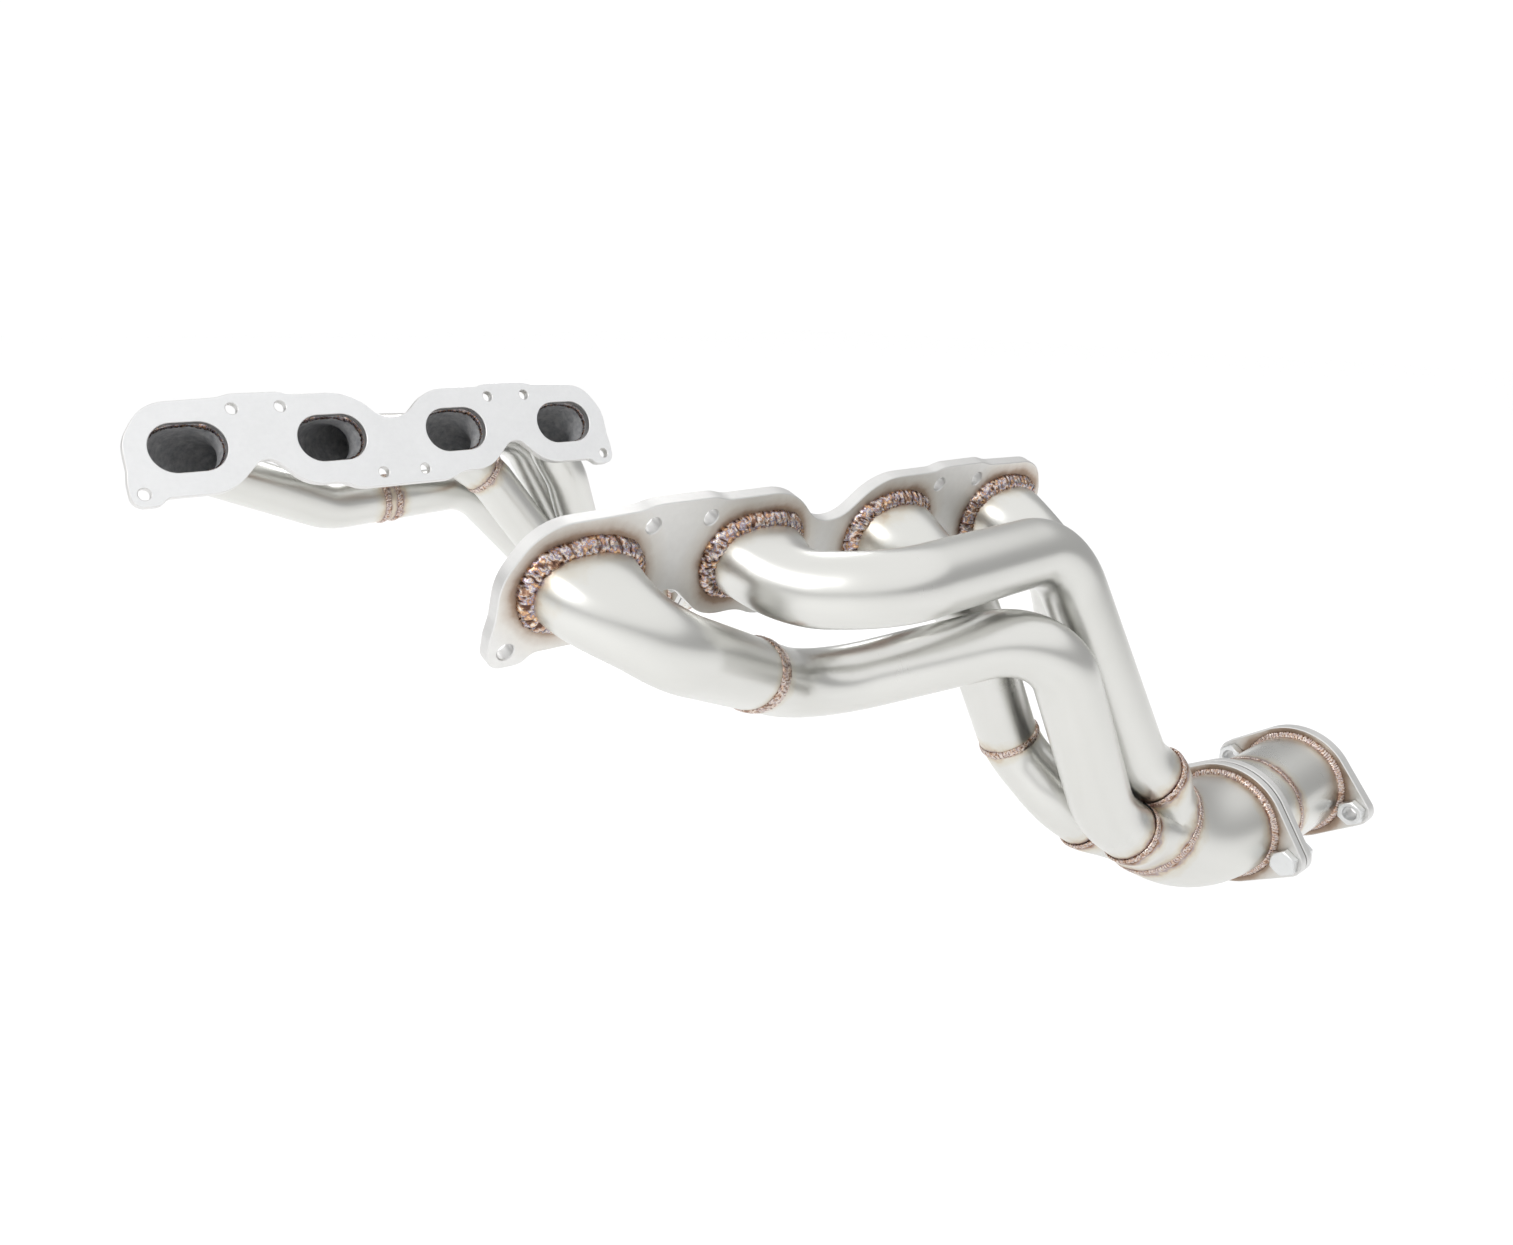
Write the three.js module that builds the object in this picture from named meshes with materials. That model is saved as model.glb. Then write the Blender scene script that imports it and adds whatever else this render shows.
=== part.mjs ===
// Matched pair of four-into-one tubular headers for a V8, with their outlet link pipes.
// Units: millimetres. +X runs along the head flange to the rear, +Y to the right, +Z up.
// Origin: centre of the left head flange, on the face that meets the cylinder head.
import * as THREE from 'three';

const vec = (x, y, z) => new THREE.Vector3(x, y, z);
const deg = Math.PI / 180;
const fitGap = 0.3;

// Head flange. Corners are (along, up, corner radius) for the rear half; the front half mirrors it.
const headTilt = 20.2 * deg;
const headThick = 8;
const portPitch = 109;
const portLong = 56;
const portHigh = 38;
const studHole = 9;
const headCorners = [
  [10, 14, 28], [34, 37, 45], [82, 37, 30], [90, 39.5, 30], [128, 39.5, 30], [136, 37, 30],
  [190, 35, 32], [208, 8, 32], [208, -14, 20], [209.6, -24, 20], [209.6, -42.5, 9.7],
  [190.2, -42.5, 9.7], [185, -37, 12], [138, -37, 36], [114, -14, 13], [104, -14, 13],
  [80, -37, 36], [54, -37, 30], [40, -43.5, 30],
];
const outlineStep = 30 * deg;
const studHoles = [[18.3, -32.1], [90.7, 27.5], [127.3, 27.5], [199.9, -32.7]];

// Primary tubes
const tubeRadius = 20.65;
const tubeWall = 1.8;
const ovalLong = 30;
const ovalHigh = 21;
const ovalRun = 45;
const tubeSides = 12;
const arcStep = 22.5 * deg;

// Collector and outlet line
const tubeSpread = 21.5;
const clusterRoll = 15.7 * deg;
const mergeDirection = vec(0.74, -0.31, -0.60).normalize();
const lobeRadius = 22.2;
const mergeLength = 38;
const outletRadius = 38.1;
const outletWall = 2;
const spikeHalf = 13.2;
const spikeLength = 45;
const pipeSides = 20;
const mergeSides = 24;

// Two-bolt flanges. Stations run along +X from the end of the collector outlet.
const earReach = 50;
const earRadius = 11.75;
const hubRadius = 45.5;
const boltHole = 11;
const boltRadius = 5;
const hexFlats = 17;
const headHeight = 6.4;
const nutHeight = 8;
const jointTilt = 13 * deg;
const outletTilt = 8 * deg;
const station = {
  collectorFlange: [0, 7],
  gasket: [7.3, 8.7],
  linkFlange: [9, 16],
  frontPipe: [16.3, 46],
  rearPipe: [46.3, 115],
  outletFlange: [115.3, 125.3],
};

// Placement of the right header: mirrored across Y, level with the other bank of the engine.
const rightOffset = vec(-51, 455.2, 12);

// Tube routes. Each tube leaves its port square to the flange for `lead` mm, passes the corners
// with the bend radii listed (port side first) and enters the collector along its axis for `tail`.
// `cut` is the distance from the port flange to the butt weld of a tube made in two pieces.
const leftRoutes = {
  cluster: vec(213.8, -96.7, -197.3),
  outlet: vec(318, -125, -238),
  tubes: [
    { lead: 57.8, corners: [[0, 2, -97], [107, -97, -54]], tail: 30, bends: [41, 60, 45, 60], cut: 144 },
    { lead: 46, corners: [[-22, -84, -12], [134, -77, -10]], tail: 24, bends: [44, 60, 50, 50] },
    { lead: 37, corners: [[106, -33, -54], [170, -32.5, -166]], tail: 32, bends: [31, 60, 45, 45], cut: 207 },
    { lead: 44, corners: [[207, -34, -50], [226, -44, -135]], tail: 24, bends: [36, 50, 36, 36] },
  ],
};
const rightRoutes = {
  cluster: vec(251.8, -101.1, -186.3),
  outlet: vec(356, -129, -217),
  tubes: [
    { lead: 42.6, corners: [[-38, -72, -71], [107, -95, -69]], tail: 27, bends: [45, 60, 60, 60], cut: 228 },
    { lead: 48.3, corners: [[2, -73, -12], [165, -90, -20]], tail: 30, bends: [48, 60, 50, 60] },
    { lead: 44, corners: [[105, -42, -52], [173, -41, -146]], tail: 30, bends: [38, 60, 60, 60], cut: 82 },
    { lead: 44, corners: [[190, -42, -60], [222, -63, -134]], tail: 30, bends: [36, 60, 45, 45] },
  ],
};

const finishes = {
  tube: [0xcbc8c0, 0.22],
  plate: [0x9d9891, 0.5],
  collector: [0xc4c1b9, 0.28],
  pipe: [0xc7c4bd, 0.25],
  gasket: [0x4c4a48, 0.8],
  fastener: [0xb9b9ba, 0.3],
};

// Geometry from a list of points and triangles
function solid(points, triangles) {
  const geometry = new THREE.BufferGeometry();
  const flat = points.flatMap((p) => [p.x, p.y, p.z]);
  geometry.setAttribute('position', new THREE.Float32BufferAttribute(flat, 3));
  geometry.setIndex(triangles.flat());
  geometry.computeVertexNormals();
  return geometry;
}

// Side wall between neighbouring rings; `inward` turns the faces to the axis
function wall(first, rings, sides, inward) {
  const faces = [];
  for (let i = 0; i < rings - 1; i += 1) {
    for (let j = 0; j < sides; j += 1) {
      const a = first + i * sides + j;
      const b = first + i * sides + (j + 1) % sides;
      faces.push(inward ? [b, a, a + sides] : [a, b, a + sides]);
      faces.push(inward ? [b, a + sides, b + sides] : [b, b + sides, a + sides]);
    }
  }
  return faces;
}

// Hollow body: outer and inner rings of the same count, closed by a flat lip at each end
function hollow(outerRings, innerRings) {
  const sides = outerRings[0].length;
  const count = outerRings.length;
  const inner = count * sides;
  const last = (count - 1) * sides;
  const faces = [...wall(0, count, sides, false), ...wall(inner, count, sides, true)];
  for (let j = 0; j < sides; j += 1) {
    const k = (j + 1) % sides;
    faces.push([j, inner + j, k], [k, inner + j, inner + k]);
    faces.push([last + j, last + k, inner + last + j], [last + k, inner + last + k, inner + last + j]);
  }
  return solid([...outerRings.flat(), ...innerRings.flat()], faces);
}

// Filled body through a list of rings, closed by a fan at each end
function filled(rings) {
  const sides = rings[0].length;
  const points = rings.flat();
  const middle = (ring) => ring.reduce((sum, p) => sum.add(p), vec(0, 0, 0)).divideScalar(sides);
  const start = points.push(middle(rings[0])) - 1;
  const end = points.push(middle(rings[rings.length - 1])) - 1;
  const last = (rings.length - 1) * sides;
  const faces = wall(0, rings.length, sides, false);
  for (let j = 0; j < sides; j += 1) {
    const k = (j + 1) % sides;
    faces.push([start, k, j], [end, last + j, last + k]);
  }
  return solid(points, faces);
}

// Ring of points around `centre`; `section` gives the two offsets for an angle
function ring(centre, across, up, sides, section) {
  return Array.from({ length: sides }, (unused, j) => {
    const [x, y] = section(2 * Math.PI * j / sides);
    return centre.clone().addScaledVector(across, x).addScaledVector(up, y);
  });
}

const circle = (radius) => (angle) => [radius * Math.cos(angle), radius * Math.sin(angle)];

// Centre line of straight runs joined by arcs, as pieces that can be read at any distance
function centreLine(corners, bends) {
  const pieces = [];
  let start = corners[0];
  for (let i = 1; i < corners.length; i += 1) {
    const along = corners[i].clone().sub(corners[i - 1]).normalize();
    if (i === corners.length - 1) {
      pieces.push({ from: start, along, length: start.distanceTo(corners[i]), turn: 0 });
      break;
    }
    const next = corners[i + 1].clone().sub(corners[i]).normalize();
    const turn = along.angleTo(next);
    const roomBefore = corners[i].distanceTo(corners[i - 1]) * (i === 1 ? 0.98 : 0.49);
    const roomAfter = corners[i].distanceTo(corners[i + 1]) * (i === corners.length - 2 ? 0.98 : 0.49);
    const reach = Math.min(bends[i - 1] * Math.tan(turn / 2), roomBefore, roomAfter);
    const radius = reach / Math.tan(turn / 2);
    const entry = corners[i].clone().addScaledVector(along, -reach);
    const side = next.clone().addScaledVector(along, -along.dot(next)).normalize();
    pieces.push({ from: start, along, length: start.distanceTo(entry), turn: 0 });
    pieces.push({ from: entry, along, side, radius, length: radius * turn, turn });
    start = corners[i].clone().addScaledVector(next, reach);
  }
  return pieces;
}

function readPiece(piece, distance) {
  if (piece.turn === 0) {
    return { at: piece.from.clone().addScaledVector(piece.along, distance), heading: piece.along.clone() };
  }
  const angle = distance / piece.radius;
  const at = piece.from.clone()
    .addScaledVector(piece.side, piece.radius * (1 - Math.cos(angle)))
    .addScaledVector(piece.along, piece.radius * Math.sin(angle));
  const heading = piece.along.clone().multiplyScalar(Math.cos(angle));
  return { at, heading: heading.addScaledVector(piece.side, Math.sin(angle)) };
}

// Sections along a centre line, with an `across` direction carried along without twist
function sections(pieces, across, cuts) {
  const list = [];
  let travelled = 0;
  for (const piece of pieces) {
    const inRun = cuts.map((cut) => cut - travelled).filter((cut) => cut > 0 && cut < piece.length);
    const steps = Math.max(1, Math.ceil(piece.turn / arcStep));
    const marks = Array.from({ length: steps }, (unused, k) => piece.length * k / steps);
    for (const mark of [...marks, ...inRun].sort((a, b) => a - b)) {
      list.push({ ...readPiece(piece, mark), travelled: travelled + mark });
    }
    travelled += piece.length;
  }
  const final = pieces[pieces.length - 1];
  list.push({ ...readPiece(final, final.length), travelled });
  let carried = across.clone();
  for (const item of list) {
    carried = carried.addScaledVector(item.heading, -carried.dot(item.heading)).normalize();
    item.across = carried.clone();
    item.up = item.heading.clone().cross(carried);
  }
  return list;
}

// Flattened oval at the port that becomes round over `ovalRun`
function tubeSection(travelled, inset) {
  const t = Math.min(travelled / ovalRun, 1);
  const ease = t * t * (3 - 2 * t);
  const long = ovalLong + (tubeRadius - ovalLong) * ease - inset;
  const high = ovalHigh + (tubeRadius - ovalHigh) * ease - inset;
  return (angle) => {
    const c = Math.cos(angle);
    const flat = Math.max(-1, Math.min(1, 1.6 * c));
    return [(long - high) * flat + high * c, high * Math.sin(angle)];
  };
}

function tubePiece(list) {
  const skin = (inset) => list.map((s) => (
    ring(s.at, s.across, s.up, tubeSides, tubeSection(s.travelled, inset))
  ));
  return hollow(skin(0), skin(tubeWall));
}

// Rounded outline of the head flange
function headOutline() {
  const front = headCorners.map(([u, v, r]) => [-u, v, r]).reverse();
  const corners = [...headCorners, ...front];
  const count = corners.length;
  const outline = [];
  corners.forEach(([u, v, radius], i) => {
    const here = new THREE.Vector2(u, v);
    const before = new THREE.Vector2(...corners[(i + count - 1) % count].slice(0, 2));
    const after = new THREE.Vector2(...corners[(i + 1) % count].slice(0, 2));
    const toBefore = before.clone().sub(here);
    const toAfter = after.clone().sub(here);
    const half = Math.acos(toBefore.dot(toAfter) / (toBefore.length() * toAfter.length())) / 2;
    const room = 0.49 * Math.min(toBefore.length(), toAfter.length());
    const reach = Math.min(radius / Math.tan(half), room);
    const a = here.clone().add(toBefore.setLength(reach));
    const b = here.clone().add(toAfter.setLength(reach));
    const middle = toBefore.add(toAfter).setLength(reach / Math.cos(half)).add(here);
    const from = a.sub(middle).angle();
    const turn = b.sub(middle).angle() - from;
    const sweep = turn - 2 * Math.PI * Math.round(turn / (2 * Math.PI));
    const steps = Math.max(2, Math.round(Math.abs(sweep) / outlineStep));
    outline.push(...arcPoints(middle.x, middle.y, reach * Math.tan(half), from, from + sweep, steps));
  });
  return outline.reverse();
}

// Points of an arc around (x, y), from one angle to another
function arcPoints(x, y, radius, from, to, steps) {
  return Array.from({ length: steps + 1 }, (unused, i) => {
    const angle = from + (to - from) * i / steps;
    return new THREE.Vector2(x + radius * Math.cos(angle), y + radius * Math.sin(angle));
  });
}

function roundHole(x, y, radius, sides) {
  return new THREE.Path(arcPoints(x, y, radius, 0, -2 * Math.PI, sides).slice(1));
}

function portHole(x) {
  const end = portHigh / 2;
  const shift = portLong / 2 - end;
  return new THREE.Path([
    ...arcPoints(x - shift, 0, end, 1.5 * Math.PI, 0.5 * Math.PI, 6),
    ...arcPoints(x + shift, 0, end, 0.5 * Math.PI, -0.5 * Math.PI, 6),
  ]);
}

function headFlange() {
  const plate = new THREE.Shape(headOutline());
  for (const [u, v] of studHoles) {
    plate.holes.push(roundHole(u, v, studHole / 2, 8), roundHole(-u, v, studHole / 2, 8));
  }
  for (let port = 0; port < 4; port += 1) {
    plate.holes.push(portHole((port - 1.5) * portPitch));
  }
  const geometry = new THREE.ExtrudeGeometry(plate, { depth: headThick, bevelEnabled: false });
  return geometry.rotateX(Math.PI / 2 + headTilt);
}

// Ear direction of a two-bolt flange: outboard and a little down
const earDirection = (tilt) => vec(0, -Math.cos(tilt), -Math.sin(tilt));

// Two-ear plate square to +X, from station[0] to station[1] behind `origin`
function earedPlate(origin, [from, to], tilt, grow = 0) {
  const wrap = Math.acos((hubRadius - earRadius) / earReach);
  const plate = new THREE.Shape([
    ...arcPoints(earReach, 0, earRadius + grow, -wrap, wrap, 4),
    ...arcPoints(0, 0, hubRadius + grow, wrap, Math.PI - wrap, 6),
    ...arcPoints(-earReach, 0, earRadius + grow, Math.PI - wrap, Math.PI + wrap, 4),
    ...arcPoints(0, 0, hubRadius + grow, Math.PI + wrap, 2 * Math.PI - wrap, 6),
  ]);
  plate.holes.push(
    roundHole(0, 0, outletRadius - outletWall, pipeSides),
    roundHole(earReach, 0, boltHole / 2, 10),
    roundHole(-earReach, 0, boltHole / 2, 10),
  );
  const geometry = new THREE.ExtrudeGeometry(plate, { depth: to - from, bevelEnabled: false });
  const ear = earDirection(tilt);
  const along = vec(1, 0, 0);
  const basis = new THREE.Matrix4().makeBasis(ear, along.clone().cross(ear), along);
  geometry.applyMatrix4(basis);
  return geometry.translate(origin.x + from, origin.y, origin.z);
}

// Straight pipe along +X
function straightPipe(origin, [from, to]) {
  const skin = (radius) => [from, to].map((x) => (
    ring(origin.clone().add(vec(x, 0, 0)), vec(0, 1, 0), vec(0, 0, 1), pipeSides, circle(radius))
  ));
  return hollow(skin(outletRadius), skin(outletRadius - outletWall));
}

// Hexagon given at its six corners and the six middles between them
function hexSection(angle) {
  const offset = ((angle % (60 * deg)) + 60 * deg) % (60 * deg);
  const radius = hexFlats / 2 / Math.cos(offset - 30 * deg);
  return [radius * Math.cos(angle), radius * Math.sin(angle)];
}

function fastenerRing(centre, x, section) {
  return ring(centre.clone().add(vec(x, 0, 0)), vec(0, 0, -1), vec(0, 1, 0), 12, section);
}

function bolt(centre, seat, end) {
  return filled([
    fastenerRing(centre, seat - headHeight, hexSection),
    fastenerRing(centre, seat, hexSection),
    fastenerRing(centre, seat, circle(boltRadius)),
    fastenerRing(centre, end, circle(boltRadius)),
  ]);
}

function nut(centre, from) {
  const stations = [from, from + nutHeight];
  return hollow(
    stations.map((x) => fastenerRing(centre, x, hexSection)),
    stations.map((x) => fastenerRing(centre, x, circle(boltRadius + fitGap))),
  );
}

// Outline of the collector mouth: four lobes around the tube ends
function lobeSection(size, blend) {
  const reach = tubeSpread * Math.SQRT2;
  return (angle) => {
    const off = (((angle - 45 * deg) % (90 * deg)) + 135 * deg) % (90 * deg) - 45 * deg;
    const lobe = reach * Math.cos(off) + Math.sqrt(lobeRadius ** 2 - (reach * Math.sin(off)) ** 2);
    const radius = lobe + (outletRadius - lobe) * blend - size;
    return [radius * Math.cos(angle), radius * Math.sin(angle)];
  };
}

function header(prefix, routes) {
  const group = new THREE.Group();
  group.name = `${prefix}_header`;
  const add = (name, geometry, [colour, roughness]) => {
    const material = new THREE.MeshStandardMaterial({ color: colour, roughness, metalness: 1 });
    const mesh = new THREE.Mesh(geometry, material);
    mesh.name = `${prefix}_${name}`;
    group.add(mesh);
  };

  const outward = vec(0, -Math.cos(headTilt), -Math.sin(headTilt));
  const axis = mergeDirection;
  const climb = vec(0, 0, 1).addScaledVector(axis, -axis.z).normalize();
  const inboard = climb.clone().cross(axis);
  if (inboard.y < 0) {
    inboard.negate();
  }
  const first = climb.clone().multiplyScalar(Math.cos(clusterRoll))
    .addScaledVector(inboard, Math.sin(clusterRoll));
  const second = inboard.clone().multiplyScalar(Math.cos(clusterRoll))
    .addScaledVector(climb, -Math.sin(clusterRoll));

  add('head_flange', headFlange(), finishes.plate);

  const seats = [[-1, -1], [1, -1], [-1, 1], [1, 1]];
  routes.tubes.forEach((tube, i) => {
    const port = vec((i - 1.5) * portPitch, 0, 0);
    const end = routes.cluster.clone()
      .addScaledVector(first, seats[i][0] * tubeSpread)
      .addScaledVector(second, seats[i][1] * tubeSpread);
    const corners = [
      port.clone().addScaledVector(outward, headThick + fitGap),
      port.clone().addScaledVector(outward, tube.lead),
      ...tube.corners.map(([x, y, z]) => vec(x, y, z)),
      end.clone().addScaledVector(axis, -tube.tail),
      end,
    ];
    const pieces = centreLine(corners, tube.bends);
    const half = fitGap / 2;
    const early = [12, 24].filter((d) => d < pieces[0].length - 4);
    const cuts = tube.cut ? [tube.cut - half, tube.cut + half] : [];
    const list = sections(pieces, vec(1, 0, 0), [...early, ...cuts]);
    const label = `primary_${i + 1}`;
    if (!tube.cut) {
      add(label, tubePiece(list), finishes.tube);
      return;
    }
    const names = i === 0 ? ['front', 'rear'] : ['upper', 'lower'];
    const before = list.filter((s) => s.travelled <= tube.cut - half + 1e-6);
    const after = list.filter((s) => s.travelled >= tube.cut + half - 1e-6);
    add(`${label}_${names[0]}`, tubePiece(before), finishes.tube);
    add(`${label}_${names[1]}`, tubePiece(after), finishes.tube);
  });

  const mergeRing = (distance, size) => {
    const t = distance / mergeLength;
    const centre = routes.cluster.clone().addScaledVector(axis, Math.max(distance, fitGap));
    const section = lobeSection(size, t * t * (3 - 2 * t));
    return ring(centre, first, second.clone().negate(), mergeSides, section);
  };
  const mergeStations = [0, 13, 25, mergeLength];
  add('collector_merge', hollow(
    mergeStations.map((d) => mergeRing(d, 0)),
    mergeStations.map((d) => mergeRing(d, outletWall)),
  ), finishes.collector);

  const spikeRing = (distance, half) => ring(
    routes.cluster.clone().addScaledVector(axis, distance), first, second.clone().negate(), 4, circle(half),
  );
  add('merge_spike', filled([
    spikeRing(-3, spikeHalf), spikeRing(0, spikeHalf), spikeRing(spikeLength, 0.8),
  ]), finishes.collector);

  const bendStart = routes.cluster.clone().addScaledVector(axis, mergeLength + fitGap);
  const bendEnd = routes.outlet.clone().add(vec(-fitGap, 0, 0));
  const pull = bendStart.distanceTo(bendEnd) * 0.36;
  const bend = new THREE.CubicBezierCurve3(
    bendStart,
    bendStart.clone().addScaledVector(axis, pull),
    bendEnd.clone().add(vec(-pull, 0, 0)),
    bendEnd,
  );
  const elbow = (radius) => [0, 0.25, 0.5, 0.75, 1].map((t) => {
    const heading = bend.getTangent(t);
    const across = vec(0, 1, 0).addScaledVector(heading, -heading.y).normalize();
    return ring(bend.getPoint(t), across, heading.clone().cross(across), pipeSides, circle(radius));
  });
  add('collector_outlet', hollow(elbow(outletRadius), elbow(outletRadius - outletWall)), finishes.collector);

  const outlet = routes.outlet;
  add('collector_flange', earedPlate(outlet, station.collectorFlange, jointTilt), finishes.plate);
  add('joint_gasket', earedPlate(outlet, station.gasket, jointTilt, -0.6), finishes.gasket);
  add('link_flange', earedPlate(outlet, station.linkFlange, jointTilt), finishes.plate);
  add('link_pipe_front', straightPipe(outlet, station.frontPipe), finishes.pipe);
  add('link_pipe_rear', straightPipe(outlet, station.rearPipe), finishes.pipe);
  add('outlet_flange', earedPlate(outlet, station.outletFlange, outletTilt), finishes.plate);

  const nutSeat = station.linkFlange[1] + fitGap;
  [1, -1].forEach((side, i) => {
    const jointEar = outlet.clone().addScaledVector(earDirection(jointTilt), side * earReach);
    const outletEar = outlet.clone().addScaledVector(earDirection(outletTilt), side * earReach);
    const captive = station.outletFlange[0] - fitGap - nutHeight;
    add(`joint_bolt_${i + 1}`, bolt(jointEar, -fitGap, nutSeat + nutHeight + 2.5), finishes.fastener);
    add(`joint_nut_${i + 1}`, nut(jointEar, nutSeat), finishes.fastener);
    add(`outlet_nut_${i + 1}`, nut(outletEar, captive), finishes.fastener);
  });
  return group;
}

const left = header('left', leftRoutes);
const right = header('right', rightRoutes);
right.scale.set(1, -1, 1);
right.position.copy(rightOffset);

const pair = new THREE.Group();
pair.name = 'header_pair';
pair.add(left, right);

export default pair;
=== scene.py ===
import math
import bpy
import numpy as np
from mathutils import Matrix, Vector
from mathutils.geometry import tessellate_polygon


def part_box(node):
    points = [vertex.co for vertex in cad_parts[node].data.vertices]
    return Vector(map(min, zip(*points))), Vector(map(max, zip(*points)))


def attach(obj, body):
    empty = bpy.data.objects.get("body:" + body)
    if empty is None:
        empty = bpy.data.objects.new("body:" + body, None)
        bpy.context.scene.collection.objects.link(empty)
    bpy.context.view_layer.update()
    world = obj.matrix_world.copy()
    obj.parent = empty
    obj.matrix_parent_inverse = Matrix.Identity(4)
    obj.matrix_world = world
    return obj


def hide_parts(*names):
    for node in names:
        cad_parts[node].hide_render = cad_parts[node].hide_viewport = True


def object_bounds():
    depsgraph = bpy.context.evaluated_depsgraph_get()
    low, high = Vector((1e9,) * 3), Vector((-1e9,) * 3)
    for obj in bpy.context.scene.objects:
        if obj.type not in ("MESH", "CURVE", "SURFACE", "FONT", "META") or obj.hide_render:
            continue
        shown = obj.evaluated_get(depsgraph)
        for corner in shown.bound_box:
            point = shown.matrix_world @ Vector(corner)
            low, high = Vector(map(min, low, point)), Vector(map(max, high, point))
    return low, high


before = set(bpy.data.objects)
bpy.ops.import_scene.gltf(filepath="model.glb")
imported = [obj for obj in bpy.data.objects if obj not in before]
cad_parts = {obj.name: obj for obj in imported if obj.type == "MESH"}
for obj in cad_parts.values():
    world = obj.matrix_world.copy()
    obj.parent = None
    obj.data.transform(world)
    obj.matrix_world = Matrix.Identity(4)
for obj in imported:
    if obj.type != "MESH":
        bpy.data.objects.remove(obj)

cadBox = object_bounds()
mm = 0.001

# Camera, light and floor

camera = {
    "place": (-0.4419, -0.4494, 0.1364),
    "azimuth": -41.6,
    "elevation": 16.9,
    "roll": 1.43,
    "lens": 26.17,
}


def makeCamera(s):
    az, el, roll = (math.radians(s[k]) for k in ("azimuth", "elevation", "roll"))
    ahead = Vector((-math.sin(az) * math.cos(el), math.cos(az) * math.cos(el), -math.sin(el)))
    level = ahead.cross(Vector((0, 0, 1))).normalized()
    down = ahead.cross(level)
    right = level * math.cos(roll) - down * math.sin(roll)
    under = level * math.sin(roll) + down * math.cos(roll)
    data = bpy.data.cameras.new("bench_camera")
    data.lens = s["lens"]
    data.sensor_width = 36
    data.sensor_fit = "HORIZONTAL"
    data.clip_start = 0.02
    eye = bpy.data.objects.new("bench_camera", data)
    bpy.context.scene.collection.objects.link(eye)
    turn = Matrix((right, -under, -ahead)).transposed().to_4x4()
    eye.matrix_world = Matrix.Translation(s["place"]) @ turn
    bpy.context.scene.camera = eye


def addNode(tree, kind, settings=None, **inputs):
    made = tree.nodes.new(kind)
    for name, value in (settings or {}).items():
        setattr(made, name, value)
    for name, value in inputs.items():
        key = int(name[1:]) if name[0] == "i" and name[1:].isdigit() else name.replace("_", " ")
        socket = made.inputs[key]
        if isinstance(value, bpy.types.NodeSocket):
            tree.links.new(value, socket)
        else:
            socket.default_value = value
    return made


def math1(tree, operation, *values, clamp=False):
    inputs = {f"i{k}": v for k, v in enumerate(values)}
    return addNode(tree, "ShaderNodeMath", {"operation": operation, "use_clamp": clamp}, **inputs).outputs[0]


def ramp(tree, factor, stops, smooth=False):
    made = addNode(tree, "ShaderNodeValToRGB", None, Fac=factor)
    made.color_ramp.interpolation = "EASE" if smooth else "LINEAR"
    steps = made.color_ramp.elements
    while len(steps) < len(stops):
        steps.new(0.5)
    for step, (where, colour) in zip(steps, stops):
        step.position = where
        step.color = (*colour, 1) if len(colour) == 3 else (colour[0],) * 3 + (1,)
    return made.outputs["Color"]


studio = {
    "floorDrop": 0.16,
    "floorHalf": 12,
    "floorColour": (0.99, 0.99, 0.99),
    "top": 0.50,
    "side": 0.48,
    "low": 0.42,
    "seen": 1.05,
}


def makeWorld(s):
    world = bpy.data.worlds.new("studio")
    world.use_nodes = True
    tree = world.node_tree
    tree.nodes.clear()
    toward = addNode(tree, "ShaderNodeTexCoord").outputs["Generated"]
    height = addNode(tree, "ShaderNodeSeparateXYZ", None, Vector=toward).outputs["Z"]
    spread = math1(tree, "MULTIPLY_ADD", height, 0.5, 0.5)
    bands = ((0.0, "low"), (0.5, "low"), (0.6, "side"), (0.85, "top"))
    sky = ramp(tree, spread, [(where, (s[band],)) for where, band in bands])
    light = addNode(tree, "ShaderNodeBackground", None, Color=sky, Strength=1.0)
    plain = addNode(tree, "ShaderNodeBackground", None, Color=(1, 1, 1, 1), Strength=s["seen"])
    path = addNode(tree, "ShaderNodeLightPath").outputs["Is Camera Ray"]
    mixed = addNode(tree, "ShaderNodeMixShader", None, i0=path, i1=light.outputs[0], i2=plain.outputs[0])
    out = addNode(tree, "ShaderNodeOutputWorld", None, Surface=mixed.outputs[0])
    bpy.context.scene.world = world


lamps = {
    # name: place, target, size in metres, power in watts
    "leftWindow": ((-1.6, -0.2, 1.0), (0.1, 0.1, -0.1), 0.9, 9),
    "rearStrip": ((1.0, 1.5, 1.1), (0.1, 0.2, -0.1), 0.7, 6),
}
ceiling = {"angle": 140, "strength": 1.75, "lean": (8, -12)}


def addLamp(name, kind, size, power):
    data = bpy.data.lights.new(name, kind)
    data.energy = power
    if kind == "SUN":
        data.angle = math.radians(size)
    else:
        data.shape = "DISK"
        data.size = size
    lamp = bpy.data.objects.new(name, data)
    bpy.context.scene.collection.objects.link(lamp)
    return lamp


def makeLamps(table, soft):
    for name, (place, target, size, power) in table.items():
        lamp = addLamp(name, "AREA", size, power)
        lamp.location = place
        lamp.rotation_euler = (Vector(target) - Vector(place)).to_track_quat("-Z", "Y").to_euler()
    over = addLamp("ceiling", "SUN", soft["angle"], soft["strength"])
    over.rotation_euler = (*(math.radians(turn) for turn in soft["lean"]), 0)


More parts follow.
